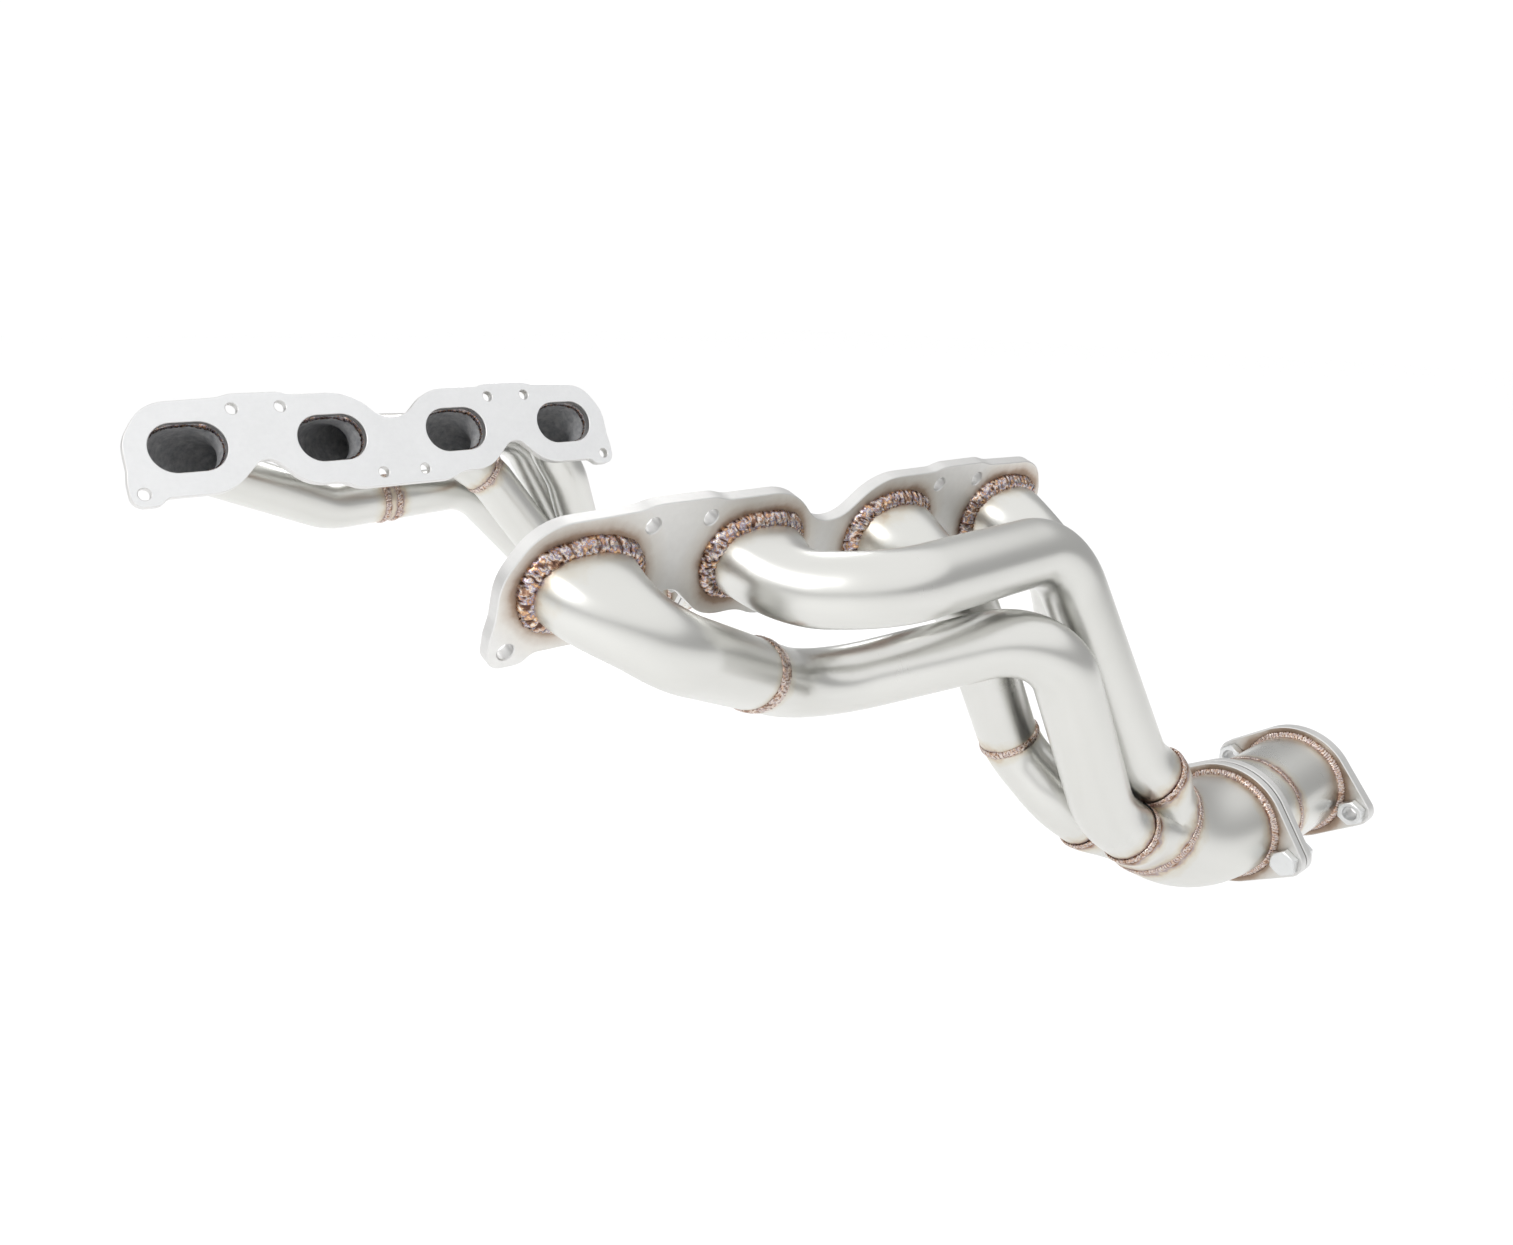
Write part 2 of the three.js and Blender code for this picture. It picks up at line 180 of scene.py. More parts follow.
def makeFloor(s):
    low = cadBox[0].z - s["floorDrop"]
    half = s["floorHalf"]
    corners = [(-half, -half, low), (half, -half, low), (half, half, low), (-half, half, low)]
    mesh = bpy.data.meshes.new("studio_floor")
    mesh.from_pydata(corners, [], [(0, 1, 2, 3)])
    floor = bpy.data.objects.new("studio_floor", mesh)
    bpy.context.scene.collection.objects.link(floor)
    material = bpy.data.materials.new("studioFloor")
    material.use_nodes = True
    shader = material.node_tree.nodes["Principled BSDF"]
    shader.inputs["Base Color"].default_value = (*s["floorColour"], 1)
    shader.inputs["Roughness"].default_value = 0.9
    mesh.materials.append(material)


makeCamera(camera)
makeWorld(studio)
makeLamps(lamps, ceiling)
makeFloor(studio)
bpy.context.scene.view_settings.view_transform = "Standard"
print("camera, lamps and floor set")

# Materials

heatReach = 0.03
hotReach = 0.012
wanderSpan = 0.014
heatStops = [  # distance from a weld, as a fraction of heatReach
    (0.00, (0.20, 0.115, 0.075)),
    (0.05, (0.40, 0.25, 0.17)),
    (0.09, (0.40, 0.33, 0.34)),
    (0.15, (0.60, 0.51, 0.41)),
    (0.26, (0.67, 0.64, 0.58)),
    (0.45, (0.70, 0.695, 0.675)),
]


def blankMaterial(name):
    material = bpy.data.materials.new(name)
    material.use_nodes = True
    tree = material.node_tree
    shader = tree.nodes["Principled BSDF"]
    shader.inputs["Metallic"].default_value = 1.0
    return material, tree, shader


def noise(tree, vector, scale, detail=3.0, rough=0.5, stretch=None):
    if stretch:
        vector = addNode(tree, "ShaderNodeMapping", None, Vector=vector, Scale=stretch).outputs[0]
    return addNode(tree, "ShaderNodeTexNoise", None, Vector=vector, Scale=scale, Detail=detail,
                   Roughness=rough).outputs["Fac"]


def mixColour(tree, factor, a, b, kind="MIX"):
    made = addNode(tree, "ShaderNodeMix", {"data_type": "RGBA", "blend_type": kind}, i0=factor, i6=a, i7=b)
    return made.outputs[2]


def finishShader(tree, shader, colour, rough, bump):
    tree.links.new(colour, shader.inputs["Base Color"])
    tree.links.new(rough, shader.inputs["Roughness"])
    tree.links.new(bump.outputs[0], shader.inputs["Normal"])


def steelTube(name, polish):
    material, tree, shader = blankMaterial(name)
    place = addNode(tree, "ShaderNodeTexCoord").outputs["Object"]
    flow = addNode(tree, "ShaderNodeUVMap", {"uv_map": "flow"}).outputs["UV"]
    seam = addNode(tree, "ShaderNodeAttribute", {"attribute_name": "seam"}).outputs["Fac"]
    inner = addNode(tree, "ShaderNodeAttribute", {"attribute_name": "inner"}).outputs["Fac"]
    wander = noise(tree, place, 95.0, 4.0, 0.6)
    near = math1(tree, "MULTIPLY_ADD", math1(tree, "SUBTRACT", wander, 0.5), wanderSpan, seam)
    heat = ramp(tree, math1(tree, "DIVIDE", near, heatReach, clamp=True), heatStops)
    cloud = noise(tree, place, 14.0, 4.0, 0.55)
    tone = mixColour(tree, math1(tree, "MULTIPLY", cloud, 0.5), (1, 1, 1, 1), (0.89, 0.905, 0.87, 1))
    clean = mixColour(tree, 1.0, heat, tone, "MULTIPLY")
    # painted shade: the inner wall is mixed towards dark blue-grey, standing in for the shade deep inside the
    # tubes; the same noise also drives the inner bump
    scale = noise(tree, place, 160.0, 5.0, 0.7)
    paintedInnerShade = ramp(tree, scale, [(0.3, (0.30, 0.31, 0.33)), (0.7, (0.62, 0.62, 0.62))])
    colour = mixColour(tree, inner, clean, paintedInnerShade)
    brush = noise(tree, flow, 1.0, 2.0, 0.6, (26.0, 2600.0, 1.0))
    rub = noise(tree, flow, 1.0, 3.0, 0.6, (420.0, 36.0, 1.0))
    grain = math1(tree, "MULTIPLY_ADD", brush, 0.04, polish)
    worn = math1(tree, "MULTIPLY_ADD", cloud, 0.12, grain)
    hot = math1(tree, "SUBTRACT", 1.0, math1(tree, "DIVIDE", near, hotReach, clamp=True))
    tinted = math1(tree, "MULTIPLY_ADD", hot, 0.12, worn)
    rough = math1(tree, "MAXIMUM", tinted, math1(tree, "MULTIPLY", inner, 0.5))
    lines = math1(tree, "ADD", math1(tree, "MULTIPLY", brush, 0.12), math1(tree, "MULTIPLY", rub, 0.16))
    relief = math1(tree, "ADD", lines, math1(tree, "MULTIPLY", scale, inner))
    bump = addNode(tree, "ShaderNodeBump", None, Strength=0.12, Distance=0.0006, Height=relief)
    tree.links.new(math1(tree, "MULTIPLY_ADD", inner, -0.75, 1.0), shader.inputs["Metallic"])
    finishShader(tree, shader, colour, rough, bump)
    return material


def weldMetal(name, troughOxideAndShade, stops, roughness):
    material, tree, shader = blankMaterial(name)
    place = addNode(tree, "ShaderNodeTexCoord").outputs["Object"]
    ripple = addNode(tree, "ShaderNodeAttribute", {"attribute_name": "ripple"}).outputs["Fac"]
    patch = noise(tree, place, 190.0, 4.0, 0.65)
    fleck = noise(tree, place, 620.0, 2.0, 0.5)
    tint = ramp(tree, math1(tree, "MULTIPLY_ADD", fleck, 0.25, math1(tree, "SUBTRACT", patch, 0.125)), stops)
    # partly painted shade: low parts of each ripple take the dark brown trough colour, part oxide and part
    # standing in for the shade between ripples; crests show the tint colours
    crown = math1(tree, "MULTIPLY_ADD", math1(tree, "SUBTRACT", fleck, 0.5), 0.5, ripple)
    shown = ramp(tree, crown, [(0.35, (0.0,)), (0.85, (1.0,))], smooth=True)
    colour = mixColour(tree, shown, (*troughOxideAndShade, 1), tint)
    rough = math1(tree, "MULTIPLY_ADD", fleck, 0.22, roughness)
    height = math1(tree, "ADD", fleck, math1(tree, "MULTIPLY", ripple, 0.6))
    bump = addNode(tree, "ShaderNodeBump", None, Strength=0.35, Distance=0.0003, Height=height)
    finishShader(tree, shader, colour, rough, bump)
    return material


def plateSteel(name, base, roughness, grain, heat):
    # heat: spacing of the weld outlines, half length of their straight sides, radius of their ends, in metres
    material, tree, shader = blankMaterial(name)
    place = addNode(tree, "ShaderNodeTexCoord").outputs["Object"]
    flat = addNode(tree, "ShaderNodeUVMap", {"uv_map": "flow"}).outputs["UV"]
    cloud = noise(tree, place, 26.0, 5.0, 0.6)
    spots = noise(tree, place, 240.0, 3.0, 0.6)
    lines = noise(tree, flat, 1.0, 3.0, 0.6, grain)
    dull = tuple(0.86 * c for c in base)
    colour = mixColour(tree, math1(tree, "MULTIPLY_ADD", spots, 0.35, math1(tree, "MULTIPLY", cloud, 0.6)),
                       (*base, 1), (*dull, 1))
    if heat:
        pitch, half, radius = heat
        parts = addNode(tree, "ShaderNodeSeparateXYZ", None, Vector=flat)
        along, across = parts.outputs["X"], parts.outputs["Y"]
        if pitch:
            along = math1(tree, "SUBTRACT", math1(tree, "FLOORED_MODULO", along, pitch), pitch / 2)
        past = math1(tree, "MAXIMUM", math1(tree, "SUBTRACT", math1(tree, "ABSOLUTE", along), half), 0.0)
        reach = math1(tree, "SQRT", math1(tree, "ADD", math1(tree, "MULTIPLY", past, past),
                                          math1(tree, "MULTIPLY", across, across)))
        gap = math1(tree, "SUBTRACT", reach, radius)
        wander = math1(tree, "MULTIPLY_ADD", math1(tree, "SUBTRACT", cloud, 0.5), wanderSpan, gap)
        glow = ramp(tree, math1(tree, "DIVIDE", wander, heatReach, clamp=True), [
            (0.0, (0.34, 0.24, 0.18)), (0.10, (0.52, 0.40, 0.32)), (0.18, (0.78, 0.71, 0.65)),
            (0.32, (0.95, 0.93, 0.90)), (0.6, (1.0, 1.0, 1.0))])
        colour = mixColour(tree, 1.0, colour, glow, "MULTIPLY")
    rough = math1(tree, "MULTIPLY_ADD", lines, 0.14, math1(tree, "MULTIPLY_ADD", spots, 0.1, roughness))
    height = math1(tree, "MULTIPLY_ADD", spots, 0.5, lines)
    bump = addNode(tree, "ShaderNodeBump", None, Strength=0.16, Distance=0.0005, Height=height)
    finishShader(tree, shader, colour, rough, bump)
    return material


finish = {
    "tube": steelTube("polishedTube", 0.22),
    "collector": steelTube("brushedCollector", 0.26),
    "pipe": steelTube("polishedPipe", 0.20),
    # the dark brown colour given to each weldMetal below is its ripple-trough colour, part oxide and part
    # painted shade
    "portWeld": weldMetal("portWeldMetal", (0.10, 0.05, 0.035), [
        (0.30, (0.20, 0.11, 0.08)), (0.40, (0.50, 0.30, 0.20)), (0.46, (0.78, 0.70, 0.62)),
        (0.51, (0.30, 0.30, 0.42)), (0.56, (0.42, 0.24, 0.17)), (0.62, (0.72, 0.45, 0.24)),
        (0.70, (0.80, 0.76, 0.70)), (0.78, (0.26, 0.18, 0.17))], 0.16),
    "seamWeld": weldMetal("seamWeldMetal", (0.20, 0.115, 0.08), [
        (0.30, (0.26, 0.16, 0.12)), (0.40, (0.50, 0.33, 0.24)), (0.48, (0.74, 0.67, 0.61)),
        (0.54, (0.42, 0.34, 0.35)), (0.62, (0.64, 0.46, 0.34)), (0.72, (0.74, 0.70, 0.65))], 0.18),
    "headPort": plateSteel("machinedPortFace", (0.90, 0.905, 0.91), 0.42, (60.0, 2400.0, 1.0), None),
    "headTube": plateSteel("heatedPlateFace", (0.84, 0.835, 0.82), 0.4, (300.0, 260.0, 1.0),
                           (0.109, 0.009, 0.025)),
    "plateEdge": plateSteel("cutPlateEdge", (0.76, 0.755, 0.745), 0.36, (200.0, 900.0, 1.0), None),
    "earFace": plateSteel("brushedEarFace", (0.72, 0.715, 0.70), 0.36, (900.0, 60.0, 1.0),
                          (0.0, 0.0, 0.0405)),
    "earPlain": plateSteel("machinedEarFace", (0.74, 0.74, 0.73), 0.38, (900.0, 60.0, 1.0), None),
    "bolt": plateSteel("platedBolt", (0.76, 0.77, 0.77), 0.24, (500.0, 500.0, 1.0), None),
    "gasket": plateSteel("layeredGasket", (0.30, 0.29, 0.28), 0.6, (700.0, 700.0, 1.0), None),
}
print("finishes made:", len(finish))

# Shared mesh work

headBoxes = {side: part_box(f"{side}_head_flange") for side in ("left", "right")}
rightShift = Vector((
    headBoxes["right"][0].x - headBoxes["left"][0].x,
    headBoxes["right"][1].y + headBoxes["left"][0].y,
    headBoxes["right"][0].z - headBoxes["left"][0].z,
))


def toRow(side, points):
    points = np.asarray(points, float).reshape(-1, 3)
    if side == "left":
        return points
    return points * (1, -1, 1) + np.array(rightShift)


def finishPiece(name, side, points, quads, materials, nodes, uv=None, values=None, kinds=None,
                sharp=None):
    mesh = bpy.data.meshes.new(name)
    faces = [tuple(f) for f in quads]
    if side == "right":
        faces = [tuple(reversed(f)) for f in faces]
    mesh.from_pydata([tuple(p) for p in toRow(side, points)], [], faces)
    if uv is not None:
        layer = mesh.uv_layers.new(name="flow")
        flat = []
        for corners in uv:
            flat.extend(reversed(corners) if side == "right" else corners)
        layer.data.foreach_set("uv", np.asarray(flat, np.float32).ravel())
    for key, data in (values or {}).items():
        attribute = mesh.attributes.new(key, "FLOAT", "POINT")
        attribute.data.foreach_set("value", np.asarray(data, np.float32))
    for material in materials:
        mesh.materials.append(material)
    if kinds is not None:
        mesh.polygons.foreach_set("material_index", np.asarray(kinds, np.int32))
    mesh.shade_smooth()
    if sharp:
        mesh.set_sharp_from_angle(angle=math.radians(sharp))
    piece = bpy.data.objects.new(name, mesh)
    bpy.context.scene.collection.objects.link(piece)
    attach(piece, f"{side}_header")
    if nodes:
        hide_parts(*nodes)
    return piece


def wallFaces(first, rings, sides, inward):
    i, j = np.meshgrid(np.arange(rings - 1), np.arange(sides), indexing="ij")
    a = first + i * sides + j
    b = first + i * sides + (j + 1) % sides
    quads = np.stack([a, b, b + sides, a + sides], -1).reshape(-1, 4)
    return quads[:, ::-1] if inward else quads


def shellPiece(name, side, outer, inner, travelled, seam, material, nodes):
    count, sides = outer.shape[:2]
    size = count * sides
    last = (count - 1) * sides
    j = np.arange(sides)
    k = (j + 1) % sides
    quads = [wallFaces(0, count, sides, False), wallFaces(size, count, sides, True)]
    quads.append(np.stack([k, j, size + j, size + k], -1))
    quads.append(np.stack([last + j, last + k, size + last + k, size + last + j], -1))
    faces = np.concatenate(quads)
    around = np.linalg.norm(outer[0] - np.roll(outer[0], 1, 0), axis=1).sum()
    column = np.tile(np.arange(sides), 2 * count)
    row = np.tile(np.repeat(np.asarray(travelled), sides), 2)
    uv = np.stack([column[faces] / sides * around, row[faces]], -1)
    wrap = (column[faces].max(1) == sides - 1) & (column[faces].min(1) == 0)
    zero = wrap[:, None] & (column[faces] == 0)
    uv[..., 0] = np.where(zero, around, uv[..., 0])
    values = {
        "seam": np.tile(np.repeat(np.asarray(seam), sides), 2),
        "inner": np.repeat([0.0, 1.0], size),
    }
    return finishPiece(name, side, np.concatenate([outer.reshape(-1, 3), inner.reshape(-1, 3)]),
                       faces.tolist(), [material], nodes, uv.tolist(), values, sharp=40)


def ringPoints(centre, across, up, offsets):
    return centre + offsets[:, :1] * across + offsets[:, 1:] * up


# Primary tubes

tube = {
    "radius": 20.65, "wall": 1.8, "ovalLong": 30.0, "ovalHigh": 21.0, "ovalRun": 45.0,
    "sides": 56, "step": 3.0, "pitch": 109.0, "plate": 8.0, "gap": 0.3,
    "outerLeg": 0.98, "innerLeg": 0.49,  # most of a leg that one bend may take
}
weldBeads = {  # width, height and ripple pitch of each bead
    "port": (5.8, 3.8, 4.2),
    "seam": (2.9, 1.2, 3.0),
    "mergeRim": (2.2, 1.4, 2.4),
    "mergeEnd": (2.6, 0.8, 1.8),
    "flange": (3.6, 2.2, 1.9),
    "linkFlange": (3.2, 2.0, 1.9),
    "pipeSeam": (1.8, 0.5, 1.9),
}
weldLift = 0.1
portToe = 1.6
tilt = math.radians(20.2)
outward = np.array([0, -math.cos(tilt), -math.sin(tilt)])
plateUp = np.array([0, -math.sin(tilt), math.cos(tilt)])
merge = {
    "axis": np.array([0.74, -0.31, -0.60]), "spread": 21.5, "roll": math.radians(15.7), "lobe": 22.2,
    "length": 38.0, "outlet": 38.1, "wall": 2.0, "sides": 96,
    "stations": 22, "rimOut": 0.9, "rimBack": 0.6,
}
elbow = {"pull": 0.36, "sides": 72, "stations": 26}
mergeAxis = merge["axis"] / np.linalg.norm(merge["axis"])
climb = np.array([0, 0, 1.0]) - mergeAxis[2] * mergeAxis
climb /= np.linalg.norm(climb)
inboard = np.cross(climb, mergeAxis)
inboard *= np.sign(inboard[1])
firstAxis = math.cos(merge["roll"]) * climb + math.sin(merge["roll"]) * inboard
secondAxis = math.cos(merge["roll"]) * inboard - math.sin(merge["roll"]) * climb

routes = {
    "left": {
        "cluster": (213.8, -96.7, -197.3),
        "tubes": [
            dict(lead=57.8, corners=[(0, 2, -97), (107, -97, -54)], tail=30, bends=[41, 60, 45, 60], cut=144,
                 bead=5.8),
            dict(lead=46, corners=[(-22, -84, -12), (134, -77, -10)], tail=24, bends=[44, 60, 50, 50]),
            dict(lead=37, corners=[(106, -33, -54), (170, -32.5, -166)], tail=32, bends=[31, 60, 45, 45],
                 cut=207),
            dict(lead=44, corners=[(207, -34, -50), (226, -44, -135)], tail=24, bends=[36, 50, 36, 36]),
        ],
    },
    "right": {
        "cluster": (251.8, -101.1, -186.3),
        "tubes": [
            dict(lead=42.6, corners=[(-38, -72, -71), (107, -95, -69)], tail=27, bends=[45, 60, 60, 60],
                 cut=228, extra=[216]),
            dict(lead=48.3, corners=[(2, -73, -12), (165, -90, -20)], tail=30, bends=[48, 60, 50, 60]),
            dict(lead=44, corners=[(105, -42, -52), (173, -41, -146)], tail=30, bends=[38, 60, 60, 60],
                 cut=82),
            dict(lead=44, corners=[(190, -42, -60), (222, -63, -134)], tail=30, bends=[36, 60, 45, 45]),
        ],
    },
}


def unit(v):
    return v / np.linalg.norm(v)


def linePieces(corners, bends):
    pieces = []
    start = corners[0]
    for i in range(1, len(corners)):
        along = unit(corners[i] - corners[i - 1])
        if i == len(corners) - 1:
            pieces.append((start, along, None, 0.0, np.linalg.norm(corners[i] - start)))
            break
        after = unit(corners[i + 1] - corners[i])
        turn = math.acos(np.clip(along @ after, -1, 1))
        ends = (i == 1, i == len(corners) - 2)
        shares = [tube["outerLeg"] if end else tube["innerLeg"] for end in ends]
        before = np.linalg.norm(corners[i] - corners[i - 1]) * shares[0]
        beyond = np.linalg.norm(corners[i + 1] - corners[i]) * shares[1]
        reach = min(bends[i - 1] * math.tan(turn / 2), before, beyond)
        radius = reach / math.tan(turn / 2)
        entry = corners[i] - along * reach
        sideways = unit(after - along * (along @ after))
        pieces.append((start, along, None, 0.0, np.linalg.norm(entry - start)))
        pieces.append((entry, along, sideways, radius, radius * turn))
        start = corners[i] + after * reach
    return pieces


def lineAt(pieces, distance):
    for begin, along, sideways, radius, length in pieces:
        if distance <= length + 1e-9:
            break
        distance -= length
    else:
        distance = length
    if sideways is None:
        return begin + along * distance, along
    angle = distance / radius
    at = begin + sideways * radius * (1 - math.cos(angle)) + along * radius * math.sin(angle)
    return at, along * math.cos(angle) + sideways * math.sin(angle)


def tubeCorners(side, i, s):
    route = routes[side]
    port = np.array([(i - 1.5) * tube["pitch"], 0, 0])
    a, b = [(-1, -1), (1, -1), (-1, 1), (1, 1)][i]
    end = np.array(route["cluster"]) + merge["spread"] * (a * firstAxis + b * secondAxis)
    return [port + outward * (tube["plate"] + tube["gap"]), port + outward * s["lead"],
            *[np.array(c, float) for c in s["corners"]], end - mergeAxis * s["tail"], end]


def tubeOffsets(distance, inset, sides):
    t = min(distance / tube["ovalRun"], 1)
    ease = t * t * (3 - 2 * t)
    long = tube["ovalLong"] + (tube["radius"] - tube["ovalLong"]) * ease - inset
    high = tube["ovalHigh"] + (tube["radius"] - tube["ovalHigh"]) * ease - inset
    angle = np.arange(sides) * 2 * math.pi / sides
    flat = np.clip(1.6 * np.cos(angle), -1, 1)
    return np.stack([(long - high) * flat + high * np.cos(angle), high * np.sin(angle)], -1)


def tubeStations(pieces, marks):
    frames = []
    across = np.array([1.0, 0, 0])
    for mark in marks:
        at, heading = lineAt(pieces, mark)
        across = unit(across - heading * (across @ heading))
        frames.append((mark, at, heading, across, np.cross(heading, across)))
    return frames


weldPaths = {side: {"port": [], "seam": [], "collector": [], "pipe": []} for side in routes}


def addWeld(side, group, points, away, bead):
    weldPaths[side][group].append((np.asarray(points), np.asarray(away), bead))


def circleRound(across, up, count):
    angle = np.linspace(0, 2 * math.pi, count, endpoint=False)[:, None]
    return across * np.cos(angle) + up * np.sin(angle)


def unitCircle(count):
    angle = np.arange(count) * 2 * math.pi / count
    return np.stack([np.cos(angle), np.sin(angle)], -1)


def buildTubes(side):
    for i, s in enumerate(routes[side]["tubes"]):
        pieces = linePieces(tubeCorners(side, i, s), s["bends"])
        total = sum(p[4] for p in pieces)
        cut, extra = s.get("cut"), s.get("extra", [])
        joins = ([cut] if cut else []) + extra
        seams = [0.0, total, *joins]
        spans = [(0.0, total, "")]
        if cut:
            names = ("_front", "_rear") if i == 0 else ("_upper", "_lower")
            half = tube["gap"] / 2
            spans = [(0.0, cut - half, names[0]), (cut + half, total, names[1])]
        marks = sorted({round(m, 4) for a, b, _ in spans for m in
                        np.linspace(a, b, max(4, int((b - a) / tube["step"])))} | set(extra))
        frames = tubeStations(pieces, marks)
        for a, b, suffix in spans:
            part = [f for f in frames if a - 1e-3 <= f[0] <= b + 1e-3]
            rings = {}
            for key, inset in (("outer", 0.0), ("inner", tube["wall"])):
                rings[key] = np.array([
                    ringPoints(f[1], f[3], f[4], tubeOffsets(f[0], inset, tube["sides"])) for f in part]) * mm
            travelled = np.array([f[0] for f in part]) * mm
            seam = np.array([min(abs(f[0] - w) for w in seams) for f in part]) * mm
            node = f"{side}_primary_{i + 1}{suffix}"
            shellPiece(f"{node}_bent", side, rings["outer"], rings["inner"], travelled, seam,
                       finish["tube"], [node])
        width, height, pitch = weldBeads["seam"]
        for mark in joins:
            at = lineAt(pieces, mark)[0]
            base = min(frames, key=lambda f: abs(f[0] - mark))
            away = circleRound(base[3], base[4], 120)
            addWeld(side, "seam", at + away * (tube["radius"] + weldLift), away,
                    (s.get("bead", width), height, pitch))
        start = pieces[0][0]
        ring = tubeOffsets(0, -portToe, 160)
        turned = np.roll(ring, -1, 0) - np.roll(ring, 1, 0)
        normal = np.stack([turned[:, 1], -turned[:, 0]], -1)
        normal /= np.linalg.norm(normal, axis=1)[:, None]
        lean = normal[:, :1] * np.array([1, 0, 0]) + normal[:, 1:] * plateUp
        path = start + outward * portToe + ring[:, :1] * np.array([1, 0, 0]) + ring[:, 1:] * plateUp
        addWeld(side, "port", path, (lean + outward) / math.sqrt(2), weldBeads["port"])


for side in routes:
    buildTubes(side)
print("primary tubes bent")

# Collector and link pipe


def mergeOffsets(inset, blend, sides):
    angle = np.arange(sides) * 2 * math.pi / sides
    off = angle % (math.pi / 2) - math.pi / 4
    reach = merge["spread"] * math.sqrt(2)
    lobe = reach * np.cos(off) + np.sqrt(merge["lobe"] ** 2 - (reach * np.sin(off)) ** 2)
    radius = lobe + (merge["outlet"] - lobe) * blend - inset
    return np.stack([radius * np.cos(angle), radius * np.sin(angle)], -1)


def buildCollector(side):
    cluster = np.array(routes[side]["cluster"])
    stations = np.linspace(0, merge["length"], merge["stations"])
    rings = {}
    for key, inset in (("outer", 0.0), ("inner", merge["wall"])):
        rows = []
        for d in stations:
            t = d / merge["length"]
            centre = cluster + mergeAxis * max(d, tube["gap"])
            rows.append(ringPoints(centre, firstAxis, -secondAxis,
                                   mergeOffsets(inset, t * t * (3 - 2 * t), merge["sides"])))
        rings[key] = np.array(rows) * mm
    seam = np.minimum(stations, merge["length"] - stations) * mm
    shellPiece(f"{side}_collector_merge_formed", side, rings["outer"], rings["inner"], stations * mm, seam,
               finish["collector"], [f"{side}_collector_merge"])
    lobes = mergeOffsets(merge["rimOut"], 0, 240)
    away = lobes / np.linalg.norm(lobes, axis=1)[:, None]
    rim = cluster - mergeAxis * merge["rimBack"]
    addWeld(side, "collector", ringPoints(rim, firstAxis, -secondAxis, lobes),
            away[:, :1] * firstAxis - away[:, 1:] * secondAxis, weldBeads["mergeRim"])
    away = circleRound(firstAxis, -secondAxis, 180)
    joint = cluster + mergeAxis * (merge["length"] + tube["gap"] / 2)
    addWeld(side, "collector", joint + away * (merge["outlet"] + weldLift), away, weldBeads["mergeEnd"])


def spanOf(side, node):
    low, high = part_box(f"{side}_{node}")
    shift = rightShift.x if side == "right" else 0
    return (low.x - shift) / mm, (high.x - shift) / mm


def outletPoint(side):
    low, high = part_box(f"{side}_collector_flange")
    shift = np.array(rightShift) if side == "right" else np.zeros(3)
    flip = -1 if side == "right" else 1
    middle = (np.array(low) + np.array(high)) / 2 - shift
    return np.array([low.x - shift[0], middle[1] * flip, middle[2]]) / mm


def bezier(points, t):
    a, b, c, d = points
    at = (1 - t) ** 3 * a + 3 * (1 - t) ** 2 * t * b + 3 * (1 - t) * t * t * c + t ** 3 * d
    slope = 3 * (1 - t) ** 2 * (b - a) + 6 * (1 - t) * t * (c - b) + 3 * t * t * (d - c)
    return at, unit(slope)


def buildElbow(side):
    cluster = np.array(routes[side]["cluster"])
    begin = cluster + mergeAxis * (merge["length"] + tube["gap"])
    end = outletPoint(side) - np.array([tube["gap"], 0, 0])
    pull = np.linalg.norm(end - begin) * elbow["pull"]
    control = (begin, begin + mergeAxis * pull, end - np.array([pull, 0, 0]), end)
    circle = unitCircle(elbow["sides"])
    rows = {"outer": [], "inner": []}
    marks = np.linspace(0, 1, elbow["stations"])
    centres = []
    for t in marks:
        at, heading = bezier(control, t)
        across = unit(np.array([0, 1.0, 0]) - heading * heading[1])
        up = np.cross(heading, across)
        centres.append(at)
        rows["outer"].append(ringPoints(at, across, up, circle * merge["outlet"]))
        rows["inner"].append(ringPoints(at, across, up, circle * (merge["outlet"] - merge["wall"])))
    gone = np.concatenate([[0], np.cumsum(np.linalg.norm(np.diff(centres, axis=0), axis=1))])
    seam = np.minimum(gone, gone[-1] - gone)
    shellPiece(f"{side}_collector_outlet_bent", side, np.array(rows["outer"]) * mm,
               np.array(rows["inner"]) * mm, gone * mm, seam * mm, finish["collector"],
               [f"{side}_collector_outlet"])


def pipeRing(side, x, bead, shift=0.0):
    centre = outletPoint(side) + np.array([x, 0, 0])
    away = circleRound(np.array([0, 1.0, 0]), np.array([0, 0, 1.0]), 180)
    lean = away + np.array([math.copysign(1.0, shift), 0, 0]) if shift else away
    lean = lean / np.linalg.norm(lean, axis=1)[:, None]
    path = centre + away * (merge["outlet"] + weldLift + abs(shift) * 0.5)
    addWeld(side, "pipe", path, lean, weldBeads[bead])


def buildPipes(side):
    origin = outletPoint(side)
    for part in ("front", "rear"):
        a, b = spanOf(side, f"link_pipe_{part}")
        stations = np.linspace(a, b, max(8, int((b - a) / tube["step"])))
        circle = unitCircle(merge["sides"])
        rows = {}
        for key, radius in (("outer", merge["outlet"]), ("inner", merge["outlet"] - merge["wall"])):
            rows[key] = np.array([ringPoints(np.array([x, origin[1], origin[2]]), np.array([0, 1.0, 0]),
                                             np.array([0, 0, 1.0]), circle * radius) for x in stations]) * mm
        gone = stations - a
        seam = np.minimum(gone, (b - a) - gone)
        shellPiece(f"{side}_link_pipe_{part}_rolled", side, rows["outer"], rows["inner"], gone * mm,
                   seam * mm, finish["pipe"], [f"{side}_link_pipe_{part}"])


def stationsOf(side, node):
    origin = outletPoint(side)[0]
    return [x - origin for x in spanOf(side, node)]


ringLean = 1.6
ringOff = 0.6


